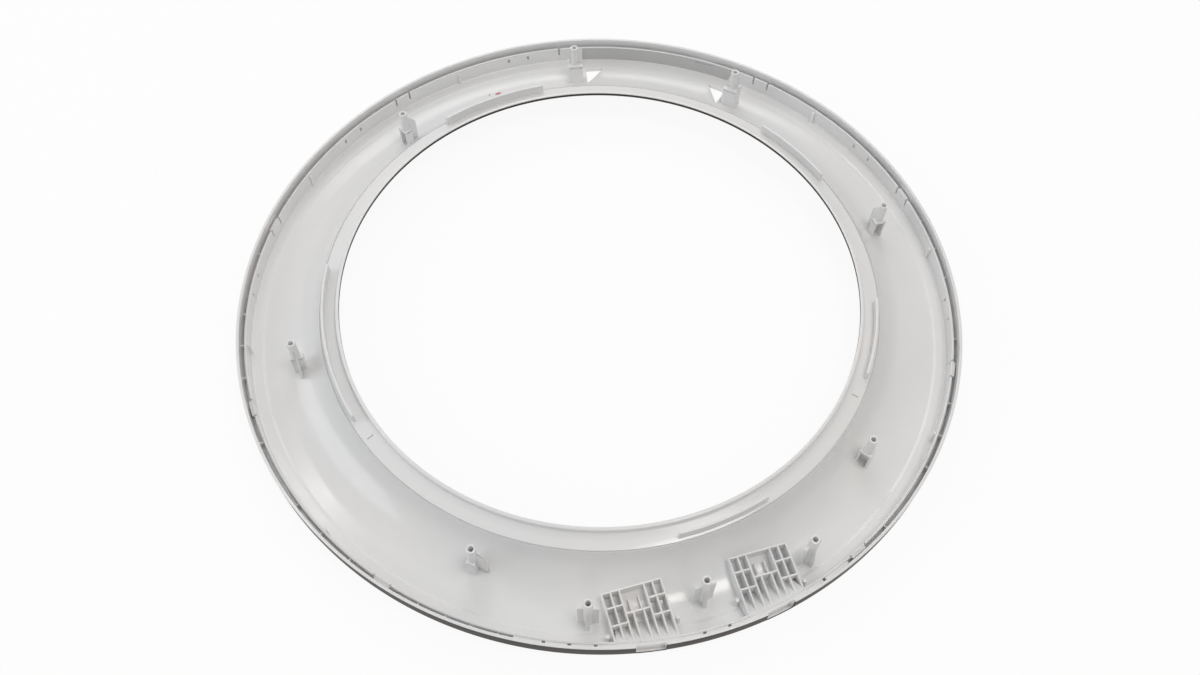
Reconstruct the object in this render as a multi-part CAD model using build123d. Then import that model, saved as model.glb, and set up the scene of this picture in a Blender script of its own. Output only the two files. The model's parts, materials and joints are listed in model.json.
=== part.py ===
from build123d import *
import os
from math import atan2, cos, degrees, radians, sin

# Outer door frame of a front-loading washing machine, moulded in one piece.
# The ring lies front face down: z = 0 is the plane that the front face rests on, and +Z points to the
# rear, where the screw bosses stand. The origin is on the ring's axis. Angles turn counter-clockwise
# about +Z, from +X. Lengths are in millimetres and angles in degrees.

# Ring section, from the outside in
outer_radius = 240.0
skirt_height = 20.0
skirt_wall = 1.8
front_corner_radius = 11.0
groove_width = 2.3
groove_floor = 8.5
fence_wall = 1.4
fence_height = 15.7
ledge_width = 8.6
ledge_step = 0.8
dish_wall = 2.6
dish_flat_width = 9.0
dish_sweep = 67.4
ridge_height = 23.6
ridge_step = 0.5
band_width = 11.0
band_rise = 1.6
band_wall = 2.5
lip_width = 2.4
lip_rise = 3.6
opening_radius = 172.0
opening_wall = 2.8

# Edges of the section
skirt_edge_slope = 0.6
lip_edge_round = 0.9
lip_foot_slope = 1.2

# How far one form runs into the next, so that they are one body, and how near counts as level
root = 0.4
level_reach = 0.01

# Where the door is pulled open, and where it hangs
handle_angle = 79.2
handle_half_span = 15.0
handle_undercut = 0.9
hinge_angle = 286.9

# Snap pattern of the fence, which repeats all round
pattern_count = 10
pattern_angle = 82.7
pattern_offset = 12.0
slot_width = 1.2
slot_depth = 6.5
tab_length = 12.0
end_slot_angle = 98.7
catch_depth = 1.4
catch_height = 2.0
catch_drop = 0.5
window_spacing = 15.6
window_width = 1.7
window_height = 4.0
window_drop = 3.1
stop_width = 2.2
stop_depth = 1.5
stop_height = 10.2
groove_rib_wall = 1.0
groove_rib_drop = 2.5

# Grip slit in the wall behind the handle
grip_slit_angle = 70.5
grip_slit_length = 13.0
grip_slit_height = 1.8
grip_slit_drop = 2.5

# Screw bosses
boss_height = 36.0
tube_radius = 2.8
pilot_radius = 1.6
pilot_depth = 16.0
shelf_height = 20.5
shelf_wall = 2.0
base_wall = 1.4
gusset_wall = 1.6
handle_boss_inset = 21.1
handle_boss_offset = 16.9
hinge_boss_inset = 20.4
side_boss_spread = 67.3
side_boss_setback = 5.6
wing_span = 6.3
wing_height = 27.5
wing_wall = 1.6
brace_length = 5.8

# Bases of the main bosses: their length along the radius, their reach from the tube's axis on the open side
# and on the closed side, and the gusset on the closed side
main_base_length = 8.4
main_base_open = 3.4
main_base_closed = 2.6
main_gusset_reach = 9.1
main_gusset_top = 30.0
main_gusset_shoulder = 22.3

# Bases of the handle bosses, with a gusset on both sides
handle_base_length = 9.6
handle_base_open = 6.2
handle_base_closed = 5.0
handle_gusset_top = 33.0

# Angle of each main boss from the handle, its distance from the fence, and the way that its base is open
main_bosses = ((56.7, 31.4, 1), (116.7, 32.1, -1), (170.3, 32.8, -1), (-114.2, 31.9, -1), (-61.2, 29.4, -1))

# Triangular core holes beside the handle bosses
hole_offset = 9.8
hole_leg = 15.8
hole_base = 13.6
hole_shift = 2.3

# Curved walls that hold the inner ring, as start and end angles
retainer_wall = 1.8
retainer_rise = 7.7
retainer_setback = 2.3
retainers = ((104.4, 129.0), (31.0, 50.0), (338.0, 356.6), (285.3, 303.7), (177.0, 214.8))

# Rib grids under the hinge arms. They run inwards from the fence, and rows count from their inner end
grid_spread = 38.8
grid_length = 36.3
grid_height = 13.0
grid_rib_wall = 1.0
panel_half_width = 7.4
column_pitch = 5.2
columns = 2
row_one = 9.0
row_two = 19.4
middle_row = 14.4
middle_ribs = 2
middle_rib_pitch = 6.2
low_rib_length = 9.0
low_rib_height = 7.4
ramp_width = 14.0
ramp_drop = 2.0
filling_drop = 0.4
hinge_catch_start = -28.0
hinge_catch_end = 21.5
hinge_catch_gaps = (-23.8, -20.3, -16.7, -1.7, 1.9, 17.1)
hinge_catch_gap = 1.9
hinge_catch_depth = 1.7
hinge_catch_height = 4.0
hinge_catch_drop = 0.7
notch_length = 17.4
notch_floor = 9.2
pin_radius = 1.3
pin_height = 11.0
pin_inset = 12.0
pin_gap = 2.6

# Locating slots in the band
key_angles = (219.6, 333.4)
key_length = 4.0
key_width = 1.0
key_depth = 1.0

# Radii and heights that follow from the sizes above
skirt_inner = outer_radius - skirt_wall
fence_outer = skirt_inner - groove_width
fence_inner = fence_outer - fence_wall
ledge_inner = fence_inner - ledge_width
ledge_height = dish_wall + ledge_step
dish_start = ledge_inner - dish_flat_width
lip_outer = opening_radius + lip_width
ridge_radius = lip_outer + band_width
band_height = ridge_height + ridge_step + band_rise
lip_height = band_height + lip_rise

grid_start = fence_inner - grid_length

# The dish leaves its floor level and climbs to the ridge in one sweep
dish_across = (dish_start - ridge_radius) / sin(radians(dish_sweep))
dish_up = (ridge_height - dish_wall) / (1 - cos(radians(dish_sweep)))

pattern_pitch = 360 / pattern_count


def dish_point(depth, share):
    """Point at a depth below the dish's surface, after a share of the sweep from the floor to the ridge."""
    turn = radians(dish_sweep * share)
    radius = dish_start - (dish_across + depth) * sin(turn)
    height = dish_wall + dish_up - (dish_up + depth) * cos(turn)
    return (radius, height)


def dish_curve(depth):
    """Curve of the dish from the floor to the ridge, at a depth below its surface."""
    return ThreePointArc(dish_point(depth, 0), dish_point(depth, 1 / 2), dish_point(depth, 1))


def corners_at(section, height):
    """Corners of a section at one height."""
    return section.vertices().filter_by_position(Axis.Y, height - level_reach, height + level_reach)


def ring_section():
    """Half section of the ring: radius across, height up."""
    corner_centre = outer_radius - front_corner_radius
    corner_middle = front_corner_radius * cos(radians(45))
    edge_height = lip_height - opening_wall
    band_front = band_height - band_wall
    edge_slope = edge_height - band_front
    front = [
        Line((opening_radius + edge_slope, band_front), dish_point(dish_wall, 1)),
        dish_curve(dish_wall),
        Line(dish_point(dish_wall, 0), (corner_centre, 0)),
        ThreePointArc(
            (corner_centre, 0),
            (corner_centre + corner_middle, front_corner_radius - corner_middle),
            (outer_radius, front_corner_radius),
        ),
    ]
    rim = Polyline(
        (outer_radius, front_corner_radius),
        (outer_radius, skirt_height),
        (skirt_inner, skirt_height),
        (skirt_inner, groove_floor),
        (fence_outer, groove_floor),
        (fence_outer, fence_height),
        (fence_inner, fence_height),
        (fence_inner, ledge_height),
        (ledge_inner, ledge_height),
        (ledge_inner, dish_wall),
        dish_point(0, 0),
    )
    band = Polyline(
        dish_point(0, 1),
        (ridge_radius, ridge_height + ridge_step),
        (lip_outer, band_height),
        (lip_outer, lip_height),
        (opening_radius, lip_height),
        (opening_radius, edge_height),
        (opening_radius + edge_slope, band_front),
    )
    section = make_face(front + [rim, dish_curve(0), band])
    section = chamfer(corners_at(section, skirt_height), skirt_edge_slope)
    section = chamfer(corners_at(section, band_height), lip_foot_slope)
    return fillet(corners_at(section, lip_height), lip_edge_round)


def patch(inner, outer, low, high):
    """Rectangle in the section plane between two radii and two heights."""
    return Pos((inner + outer) / 2, (low + high) / 2) * Rectangle(outer - inner, high - low)


def turned(section, start, end):
    """A section turned about the ring's axis from one angle to another."""
    return Rot(0, 0, start) * revolve(Plane.XZ * section, Axis.Z, end - start)


def upright(inner, outer, width, low, high):
    """Block along +X between two radii and two heights, centred on the axis across."""
    centre = Pos((inner + outer) / 2, 0, (low + high) / 2)
    return centre * Box(outer - inner, width, high - low)


def arc_degrees(length, radius):
    """Angle that a length takes on a circle."""
    return degrees(length / radius)


def pattern_angles(offset, clear):
    """Angles of one feature of the snap pattern, less those in the smooth wall behind the handle."""
    angles = [pattern_angle + offset + pattern_pitch * k for k in range(pattern_count)]
    return [a for a in angles if abs((a - handle_angle + 180) % 360 - 180) > handle_half_span + clear]


def snap_tabs():
    """Open slots beside each snap tab and beside the handle, as cuts, and the catch on each tab."""
    half_tab = arc_degrees(tab_length, fence_inner) / 2
    half_slot = arc_degrees(slot_width, fence_inner) / 2
    slot = upright(fence_inner - root, fence_outer + root, slot_width,
                   fence_height - slot_depth, fence_height + root)
    catch = patch(fence_outer - root, fence_outer + catch_depth,
                  fence_height - catch_drop - catch_height, fence_height - catch_drop)
    cuts = [Rot(0, 0, end_slot_angle) * slot]
    catches = []
    for angle in pattern_angles(pattern_offset, half_tab):
        cuts += [Rot(0, 0, angle + side * half_tab) * slot for side in (-1, 1)]
        catches.append(turned(catch, angle - half_tab + half_slot, angle + half_tab - half_slot))
    return cuts, catches


def snap_windows():
    """Pairs of small closed windows through the fence."""
    half_pair = arc_degrees(window_spacing, fence_inner) / 2
    top = fence_height - window_drop
    window = upright(fence_inner - root, fence_outer + root, window_width, top - window_height, top)
    return [
        Rot(0, 0, angle + side * half_pair) * window
        for angle in pattern_angles(-pattern_offset, half_pair)
        for side in (-1, 1)
    ]


def fence_stops():
    """Small stops on the fence's inner face."""
    stop = upright(fence_inner - stop_depth, fence_inner + root, stop_width,
                   ledge_height - root, ledge_height + stop_height)
    return [Rot(0, 0, angle) * stop for angle in pattern_angles(0, 0)]


def groove_ribs():
    """Ribs that tie the skirt to the fence: one at each stop, and one midway between neighbours."""
    rib = upright(fence_outer - root, skirt_inner + root, groove_rib_wall,
                  groove_floor - root, fence_height - groove_rib_drop)
    offsets = (0, pattern_offset / 2, -pattern_offset / 2, pattern_pitch / 2)
    starts = [pattern_angle + pattern_pitch * k for k in range(pattern_count)]
    return [Rot(0, 0, start + offset) * rib for start in starts for offset in offsets]


def screw_tube():
    """Boss tube with its blind pilot hole, about the local Z axis."""
    tube = Pos(0, 0, boss_height / 2) * Cylinder(tube_radius, boss_height)
    pilot = Pos(0, 0, boss_height - pilot_depth / 2) * Cylinder(pilot_radius, pilot_depth)
    return tube, pilot


def gusset(reach, top, shoulder):
    """Upright plate from the tube's axis along +Y: its edge slopes from the tube down to its shoulder."""
    outline = Polyline((0, 0), (0, top), (tube_radius, top), (reach, shoulder), (reach, 0), close=True)
    return extrude(Plane.YZ * make_face(outline), gusset_wall / 2, both=True)


def based_boss(length, reach_open, reach_closed, gussets):
    """Screw tube on a hollow base that is open towards +Y, with its gussets."""
    tube, pilot = screw_tube()
    width = reach_open + reach_closed
    pocket_height = shelf_height - shelf_wall
    base = upright(-length / 2, length / 2, width, 0, shelf_height)
    pocket = Pos(0, base_wall, 0) * upright(
        base_wall - length / 2, length / 2 - base_wall, width, -root, pocket_height)
    shift = Pos(0, (reach_open - reach_closed) / 2, 0)
    stem = tube - Pos(0, 0, pocket_height / 2) * Box(length, 2 * tube_radius, pocket_height)
    return shift * base + stem + gussets - shift * pocket - pilot


def main_boss():
    """Boss of the dish: one gusset, on the closed side of its base."""
    support = gusset(main_gusset_reach, main_gusset_top, main_gusset_shoulder)
    return based_boss(main_base_length, main_base_open, main_base_closed, [Rot(0, 0, 180) * support])


def handle_boss():
    """Boss beside the handle: a gusset on both sides, down to the edges of its base."""
    supports = [gusset(handle_base_open, handle_gusset_top, shelf_height),
                Rot(0, 0, 180) * gusset(handle_base_closed, handle_gusset_top, shelf_height)]
    return based_boss(handle_base_length, handle_base_open, handle_base_closed, supports)


def winged_boss(along, across):
    """Screw tube with two wings across its radius and a brace that slopes outwards.

    Its place is given along and across the hinge direction.
    """
    tube, pilot = screw_tube()
    wings = Box(wing_wall, 2 * wing_span, wing_height, align=(Align.CENTER, Align.CENTER, Align.MIN))
    brace_outline = Polyline((0, 0), (0, wing_height), (tube_radius, wing_height), (brace_length, 0),
                             close=True)
    brace = extrude(Plane.XZ * make_face(brace_outline), wing_wall / 2, both=True)
    facing = Rot(0, 0, degrees(atan2(across, along)))
    return Rot(0, 0, hinge_angle) * Pos(along, across, 0) * facing * (tube + wings + brace - pilot)


def opened(boss, way):
    """A boss whose base is open counter-clockwise (1), or its mirror image, open clockwise (-1)."""
    return boss if way > 0 else mirror(boss, about=Plane.XZ)


def screw_bosses():
    """All ten bosses: five round the dish, two beside the handle and three between the hinge arms."""
    main = main_boss()
    bosses = []
    for offset, inset, way in main_bosses:
        bosses.append(Rot(0, 0, handle_angle + offset) * Pos(fence_inner - inset, 0, 0) * opened(main, way))
    beside_handle = Pos(fence_inner - handle_boss_inset, 0, 0) * handle_boss()
    for side in (-1, 1):
        bosses.append(Rot(0, 0, handle_angle + side * handle_boss_offset) * opened(beside_handle, -side))
    hinge_place = fence_inner - hinge_boss_inset
    bosses.append(winged_boss(hinge_place, 0))
    for side in (-1, 1):
        bosses.append(winged_boss(hinge_place - side_boss_setback, side * side_boss_spread))
    return bosses


def core_holes():
    """Triangular holes through the dish, next to the open sides of the handle bosses."""
    radius = fence_inner - handle_boss_inset
    holes = []
    for side in (-1, 1):
        edge = -side * hole_offset
        tip = edge - side * hole_base
        outline = Polyline(
            (hole_shift - hole_leg / 2, edge), (hole_shift + hole_leg / 2, edge),
            (hole_shift + hole_leg / 2, tip), close=True)
        hole = extrude(make_face(outline), ridge_height, both=True)
        holes.append(Rot(0, 0, handle_angle + side * handle_boss_offset) * Pos(radius, 0, 0) * hole)
    return holes


def handle_wall_cut():
    """Undercut of the smooth wall behind the handle, the floor cut level up to it, and the slit in it."""
    outline = Polyline(
        (fence_inner, fence_height), (fence_inner + handle_undercut, dish_wall), (ledge_inner, dish_wall),
        (ledge_inner, ledge_height), (fence_inner - root, ledge_height), (fence_inner - root, fence_height),
        close=True)
    wall = turned(make_face(outline), handle_angle - handle_half_span, handle_angle + handle_half_span)
    half_slit = arc_degrees(grip_slit_length, fence_inner) / 2
    slit_top = fence_height - grip_slit_drop
    slit = turned(patch(fence_inner - root, fence_outer + root, slit_top - grip_slit_height, slit_top),
                  grip_slit_angle - half_slit, grip_slit_angle + half_slit)
    return [wall, slit]


def retaining_walls():
    """Curved walls along the outer edge of the band."""
    outer = ridge_radius - retainer_setback
    top = ridge_height + ridge_step + retainer_rise
    wall = patch(outer - retainer_wall, outer, ridge_height - root, top)
    return [turned(wall, start, end) for start, end in retainers]


def hinge_grid(side):
    """Rib grid of one hinge arm: two columns of pockets on each side of a middle panel, and two pins."""
    column_places = [panel_half_width + column_pitch * k for k in range(columns + 1)]
    edge = column_places[-1] + grid_rib_wall / 2
    long_rib = upright(grid_start, fence_outer, grid_rib_wall, 0, grid_height)
    ribs = [Pos(0, way * place, 0) * long_rib for place in column_places for way in (-1, 1)]
    for row in (row_one, row_two):
        at = grid_start + row
        row_rib = upright(at, at + grid_rib_wall, edge - panel_half_width, 0, grid_height)
        ribs += [Pos(0, way * (panel_half_width + edge) / 2, 0) * row_rib for way in (-1, 1)]
    ribs.append(upright(grid_start, grid_start + grid_rib_wall, 2 * edge, 0, grid_height))
    middle_start = grid_start + middle_row
    ribs.append(upright(middle_start, middle_start + grid_rib_wall, 2 * panel_half_width, 0, grid_height))
    short_rib = upright(middle_start, fence_outer, grid_rib_wall, 0, grid_height)
    first = -(middle_ribs - 1) / 2
    low_rib = upright(middle_start - low_rib_length, middle_start, grid_rib_wall, 0, low_rib_height)
    for k in range(middle_ribs):
        ribs += [Pos(0, (first + k) * middle_rib_pitch, 0) * rib for rib in (short_rib, low_rib)]
    pin = Cylinder(pin_radius, pin_height, align=(Align.CENTER, Align.CENTER, Align.MIN))
    ribs += [Pos(fence_inner - pin_inset, way * (edge + pin_gap), 0) * pin for way in (-1, 1)]
    return Rot(0, 0, hinge_angle) * Pos(0, side * grid_spread, 0) * (ribs[0] + ribs[1:])


def hinge_span(side, half_width, radius):
    """Start and end angle of a width about one hinge arm."""
    middle = side * arc_degrees(grid_spread, radius)
    half = arc_degrees(half_width, radius)
    return hinge_angle + middle - half, hinge_angle + middle + half


def hinge_ramps():
    """Ramps from the dish up to the fence, and the filled groove, behind each hinge arm."""
    top = fence_height - ramp_drop
    outline = Polyline(
        (fence_inner - ramp_width, dish_wall),
        (fence_inner, top),
        (fence_inner + root, top),
        (fence_inner + root, dish_wall - root),
        (fence_inner - ramp_width, dish_wall - root),
        close=True,
    )
    filling = patch(fence_outer - root, skirt_inner + root,
                    groove_floor - root, fence_height - filling_drop)
    half_width = panel_half_width + column_pitch * columns + grid_rib_wall / 2
    forms = []
    for side in (-1, 1):
        start, end = hinge_span(side, half_width, fence_inner)
        forms += [turned(make_face(outline), start, end), turned(filling, start, end)]
    return forms


def hinge_catches():
    """Bars on the fence's outer face, beside and between the hinge arms, with small gaps between them."""
    top = fence_height - hinge_catch_drop
    bar = patch(fence_outer - root, fence_outer + hinge_catch_depth, top - hinge_catch_height, top)
    half_gap = arc_degrees(hinge_catch_gap, fence_outer) / 2
    starts = [hinge_catch_start] + [gap + half_gap for gap in hinge_catch_gaps]
    ends = [gap - half_gap for gap in hinge_catch_gaps] + [hinge_catch_end]
    return [turned(bar, hinge_angle + start, hinge_angle + end) for start, end in zip(starts, ends)]


def hinge_notches():
    """Cuts in the skirt where the hinge arms pass."""
    cut = patch(skirt_inner, outer_radius + root, notch_floor, skirt_height + root)
    return [turned(cut, *hinge_span(side, notch_length / 2, outer_radius)) for side in (-1, 1)]


def locating_slots():
    """Shallow slots in the band."""
    middle = (lip_outer + ridge_radius) / 2
    slot = upright(middle - key_length / 2, middle + key_length / 2, key_width,
                   band_height - band_rise - key_depth, band_height + root)
    return [Rot(0, 0, angle) * slot for angle in key_angles]


def root_limit():
    """Space between the middle of the dish's wall and the fence's wall, where ribs and bosses may be."""
    depth = dish_wall / 2
    rim = Polyline(
        dish_point(depth, 0),
        (fence_inner + root, dish_wall - depth),
        (fence_inner + root, boss_height),
        (opening_radius, boss_height),
        (opening_radius, ridge_height),
        dish_point(depth, 1),
    )
    return revolve(Plane.XZ * make_face([rim, dish_curve(depth)]), Axis.Z)


def door_frame():
    """The whole moulding as one solid."""
    ring = revolve(Plane.XZ * ring_section(), Axis.Z)
    tab_slots, catches = snap_tabs()
    limit = root_limit()
    standing = [limit & form for form in screw_bosses() + [hinge_grid(-1), hinge_grid(1)]]
    ring = ring - handle_wall_cut()
    ring = ring + standing + hinge_ramps() + hinge_catches() + groove_ribs() + catches
    ring = ring + fence_stops() + retaining_walls()
    return ring - tab_slots - snap_windows() - core_holes() - hinge_notches() - locating_slots()


frame = door_frame()
print("door frame", len(frame.solids()), "solid,", round(frame.volume / 1000, 1), "cubic centimetres")
os.makedirs("parts", exist_ok=True)
export_step(frame, "parts/door_frame.step")
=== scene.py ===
# %% [markdown]
# # Outer door frame of a front-loading washing machine
# The real thing is one moulding: a white plastic ring, lying front face down, with everything that the rest
# of the door is screwed and snapped to standing on its rear side. The solid model fixes where every wall,
# boss and hole is. This file dresses it: each wall is a smooth surface worked out with numpy, with the small
# rounds that a mould leaves. The frame is loaded first, because every size below is taken from it or
# measured against it.

# %% Load the frame
import json

import bpy
import numpy as np
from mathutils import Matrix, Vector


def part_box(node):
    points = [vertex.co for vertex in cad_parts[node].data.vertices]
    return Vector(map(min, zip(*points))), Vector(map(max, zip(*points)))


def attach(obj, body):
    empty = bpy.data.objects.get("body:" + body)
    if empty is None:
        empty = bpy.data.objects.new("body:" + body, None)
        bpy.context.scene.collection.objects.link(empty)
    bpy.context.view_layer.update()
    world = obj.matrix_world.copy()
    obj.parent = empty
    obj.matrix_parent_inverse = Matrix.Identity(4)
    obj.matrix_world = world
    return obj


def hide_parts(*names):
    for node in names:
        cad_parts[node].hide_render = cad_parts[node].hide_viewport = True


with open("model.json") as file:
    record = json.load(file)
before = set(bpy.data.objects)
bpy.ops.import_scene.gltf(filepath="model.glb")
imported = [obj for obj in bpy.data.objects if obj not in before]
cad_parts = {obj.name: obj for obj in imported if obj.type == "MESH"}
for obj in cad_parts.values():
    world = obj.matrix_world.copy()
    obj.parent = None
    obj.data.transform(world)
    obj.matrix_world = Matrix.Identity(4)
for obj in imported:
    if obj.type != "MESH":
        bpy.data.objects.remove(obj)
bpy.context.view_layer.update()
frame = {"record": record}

# %% [markdown]
# ## Sizes
# Lengths are in millimetres, as on a drawing, and become metres only when a mesh is made. The ring's radius,
# its height, the opening and the places of the screw bosses are read from the frame. The section's own sizes
# are named here, from the outside of the ring to its opening.

# %% Driving sizes of the ring's section
MM = 0.001
_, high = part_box("door_frame")
mounts = {mount["name"]: mount for mount in frame["record"]["mounts"]}
outer_radius = round(high.x / MM, 2)
boss_top = round(high.z / MM, 2)
opening_radius = mounts["glass_opening"]["dims"]["r_mm"]

skirt_height, skirt_wall, skirt_round = 20.0, 1.8, 0.35
front_corner, corner_clear = 11.0, 0.5
groove_width, groove_floor, groove_round = 2.3, 8.5, 0.5
fence_wall, fence_height, fence_round, fence_foot_round = 1.4, 15.7, 0.45, 1.0
ledge_width, ledge_step, ledge_slope, ledge_round = 8.6, 0.8, 1.6, 0.8
dish_wall, dish_flat, dish_sweep = 2.6, 9.0, 67.4
ridge_height, ridge_step, ridge_gap, ridge_round = 23.6, 0.5, 0.8, 0.2
band_width, band_rise, band_wall = 11.0, 1.6, 2.5
lip_width, lip_rise, lip_round, lip_foot_round = 2.4, 3.6, 0.9, 1.2
opening_wall, opening_round, edge_round, coat_drop = 2.8, 0.6, 0.3, 0.7
hole_clear, draft = 0.3, 0.1

skirt_inner = outer_radius - skirt_wall
fence_outer = skirt_inner - groove_width
fence_inner = fence_outer - fence_wall
ledge_inner = fence_inner - ledge_width
ledge_height = dish_wall + ledge_step
hole_limit = ledge_inner - hole_clear
dish_start = ledge_inner - dish_flat
lip_outer = opening_radius + lip_width
ridge_radius = lip_outer + band_width
band_height = ridge_height + ridge_step + band_rise
lip_height = band_height + lip_rise
band_front = band_height - band_wall
edge_height = lip_height - opening_wall
edge_slope = edge_height - band_front
dish_across = (dish_start - ridge_radius) / np.sin(np.radians(dish_sweep))
dish_up = (ridge_height - dish_wall) / (1 - np.cos(np.radians(dish_sweep)))
print("ring", outer_radius, "to", opening_radius, "- fence", fence_inner, "- ridge", round(ridge_radius, 2))

# %% [markdown]
# ## Angles of what repeats
# The snap fence repeats one pattern ten times: a springy tab between two slots, a stop, and a pair of small
# windows. Angles are in degrees, counter-clockwise from +X. The handle side is near +Y and the hinge side
# near -Y.

# %% Angles of the pattern, the handle and the hinge
handle_angle, handle_half_span = 79.2, 15.0
hinge_angle = 286.9
pattern_angle, pattern_count, pattern_pitch, pattern_offset = 82.7, 10, 36.0, 12.0
slot_width, slot_floor, edge_slot = 1.2, 9.2, 98.7
tab_length = 12.0
window_spacing, window_width, window_low, window_sill, window_high = 15.6, 1.7, 8.6, 9.1, 12.6
slit_angle, slit_length, slit_low, slit_high = 70.5, 13.0, 11.4, 13.2
grid_spread, grid_half_width = 38.8, 18.3
notch_length, notch_floor = 17.4, 9.2
key_angles, key_width, key_length, key_depth = (219.6, 333.4), 1.0, 4.0, 1.0


def arc_degrees(length, radius):
    """Angle that a length takes on a circle: length over radius, in degrees."""
    return np.degrees(length / radius)


def degrees_between(first, second):
    """Angle between two directions, the short way round."""
    return np.abs((first - second + 180) % 360 - 180)


def pattern_angles(offset, clear=0.0):
    """Angles of one feature of the pattern, less those that fall in the smooth wall behind the handle."""
    angles = pattern_angle + offset + pattern_pitch * np.arange(pattern_count)
    return angles[degrees_between(angles, handle_angle) > handle_half_span + clear] % 360


both_sides = np.array((-1, 1))
half_tab = arc_degrees(tab_length, fence_inner) / 2
tab_angles = pattern_angles(pattern_offset, half_tab)
slot_angles = np.append(np.add.outer(tab_angles, half_tab * both_sides).ravel(), edge_slot) % 360
half_pair = arc_degrees(window_spacing, fence_inner) / 2
pair_angles = pattern_angles(-pattern_offset, half_pair)
window_angles = np.add.outer(pair_angles, half_pair * both_sides).ravel() % 360
arm_angles = hinge_angle + arc_degrees(grid_spread, fence_inner) * both_sides
notch_angles = hinge_angle + arc_degrees(grid_spread, outer_radius) * both_sides
print(len(slot_angles), "slots,", len(window_angles), "windows")

# %% [markdown]
# ## Tools for surfaces
# A section is a path with rounded corners. A surface is a lattice of such paths, and its faces are worked
# out from the lattice's row and column numbers alone, so nothing here loops over vertices.


# %% Rounded paths and lattices
def rounded_path(corners, steps=3, support=0.4, touch_share=0.45, support_share=0.3):
    """Points round a closed path of corners (x, y, radius).

    Each arc touches its two runs at radius / tan(half the angle between them) from the corner, and its
    points are the centre plus the radius turned evenly from one touching point to the other. One more point
    on each side, a little way along the run, keeps the flat beside an arc flat when it is shaded. Both keep
    to a share of the run. A corner of radius 0 is one point.
    """
    corners = np.asarray(corners, float)
    share = np.linspace(0, 1, steps + 1)[:, None]
    points = []
    for k, radius in enumerate(corners[:, 2]):
        corner = corners[k, :2]
        if radius == 0:
            points.append(corner[None])
            continue
        before, after = corners[k - 1, :2] - corner, corners[(k + 1) % len(corners), :2] - corner
        reach_before, reach_after = np.linalg.norm(before), np.linalg.norm(after)
        before, after = before / reach_before, after / reach_after
        half = np.arccos(np.clip(before @ after, -1, 1)) / 2
        touch = min(radius / np.tan(half), touch_share * min(reach_before, reach_after))
        bisector = (before + after) / np.linalg.norm(before + after)
        centre = corner + bisector * touch / np.cos(half)
        first, last = corner + before * touch - centre, corner + after * touch - centre
        turn = np.pi - 2 * half
        arc = centre + (np.sin((1 - share) * turn) * first + np.sin(share * turn) * last) / np.sin(turn)
        lead = corner + before * (touch + min(support, support_share * (reach_before - touch)))
        trail = corner + after * (touch + min(support, support_share * (reach_after - touch)))
        points.append(np.vstack([lead[None], arc, trail[None]]))
    return np.vstack(points)


def lattice(rows, columns, close_rows=False):
    """Quads between closed loops whose points are numbered loop by loop.

    Each quad joins a point, the next one in its loop, and the same two in the next loop.
    """
    i = np.arange(rows if close_rows else rows - 1)[:, None]
    j = np.arange(columns)[None]
    next_i, next_j = (i + 1) % rows, (j + 1) % columns
    corners = (i * columns + j, i * columns + next_j, next_i * columns + next_j, next_i * columns + j)
    return np.stack(corners, -1).reshape(-1, 4)


def cap(count):
    """Quads that close a loop of an even number of points, as rungs from each point to the one across."""
    j = np.arange(count // 2 - 1)
    return np.stack([j, j + 1, count - 2 - j, count - 1 - j], -1)


def loft(loops):
    """A closed body through a stack of loops: the lattice of its wall, and a cap on both end loops."""
    rows, columns = loops.shape[:2]
    ends = cap(columns)
    faces = np.vstack([lattice(rows, columns), ends[:, ::-1], ends + (rows - 1) * columns])
    return loops.reshape(-1, 3), faces


def gather(bodies):
    """Several bodies as one: their points in a row, and their faces counted on from the points before."""
    starts = np.cumsum([0] + [len(points) for points, _ in bodies[:-1]])
    points = np.vstack([points for points, _ in bodies])
    return points, np.vstack([faces + start for (_, faces), start in zip(bodies, starts)])


def placed(loop, angle, x=0.0, y=0.0):
    """An outline drawn along +X, moved by x and y, then turned by mixing both with cosine and sine."""
    c, s = np.cos(np.radians(angle)), np.sin(np.radians(angle))
    return (loop + (x, y)) @ np.array([[c, s], [-s, c]])


def spun(radius, height, degrees):
    """Points of the ring from a radius, a height and an angle, each an array of one shape."""
    turn = np.radians(degrees)
    return np.stack([radius * np.cos(turn), radius * np.sin(turn), height], -1)


print("tools ready")

# %% [markdown]
# ## Height of the dish
# Ribs and bosses grow out of the dish, so each needs to know how high the dish is under it. The dish is an
# arc of an ellipse, so its height can be solved for directly, which is quicker and smoother than a ray cast.


# %% The dish as a height over the radius
def dish_curve(depth, shares):
    """Section of the dish at a depth below its surface, after shares of its sweep from floor to ridge.

    The radius falls by the sine of the swept angle, and the height grows by one minus its cosine.
    """
    sweep = np.radians(dish_sweep * shares)
    radius = dish_start - (dish_across + depth) * np.sin(sweep)
    return np.stack([radius, dish_wall + dish_up - (dish_up + depth) * np.cos(sweep)], -1)


def dish_height(radius, depth=0.0):
    """Height of the dish at a radius: level floor, then the sweep solved for its height, then the band."""
    inward = np.clip((dish_start - radius) / (dish_across + depth), 0, np.sin(np.radians(dish_sweep)))
    height = dish_wall + dish_up - (dish_up + depth) * np.sqrt(1 - inward ** 2)
    if depth > 0:
        return height
    band = ridge_height + ridge_step + band_rise * (ridge_radius - radius) / band_width
    height = np.where(radius > ledge_inner, ledge_height, height)
    return np.where(radius < ridge_radius, band, height)


print("dish climbs to", round(float(dish_height(ridge_radius)), 2), "mm at the ridge")

# %% [markdown]
# ## Making a piece
# A piece is a mesh in the frame's own coordinates, so it needs no placing. Its faces are smooth, and an edge
# stays crisp where two faces meet at more than a given angle. Every piece rides on the one body and stands
# for the solid.


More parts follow.
